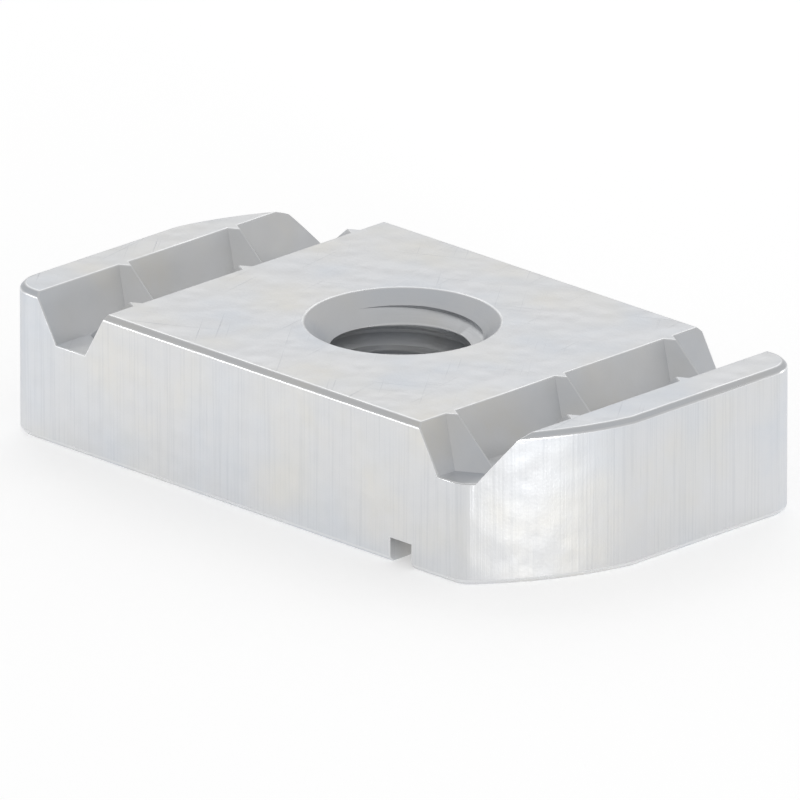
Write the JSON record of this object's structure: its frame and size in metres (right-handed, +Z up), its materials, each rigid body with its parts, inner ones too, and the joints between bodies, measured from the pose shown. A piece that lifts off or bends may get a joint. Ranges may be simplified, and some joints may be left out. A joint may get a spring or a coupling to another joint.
{
  "type": "strut channel nut",
  "caption": "Twist-in nut for strut channel: a steel block with a tapped bore between toothed grooves that bite the channel's lips once it is turned.",
  "frame": {"origin": "middle of the nut's underside, on the axis of the tapped bore", "axes": "+X along the nut's length, from groove to groove, towards the end that carries the underside slot; +Y along the grooves; +Z up the bore, towards the toothed side that the bolt enters"},
  "size_m": [0.0344, 0.019, 0.0075],
  "materials": {
    "zinc_plated_steel": "bright electro-zinc plating on formed carbon steel, satin"
  },
  "bodies": {
    "root": {"channel_nut": "zinc_plated_steel"}
  },
  "joints": []
}
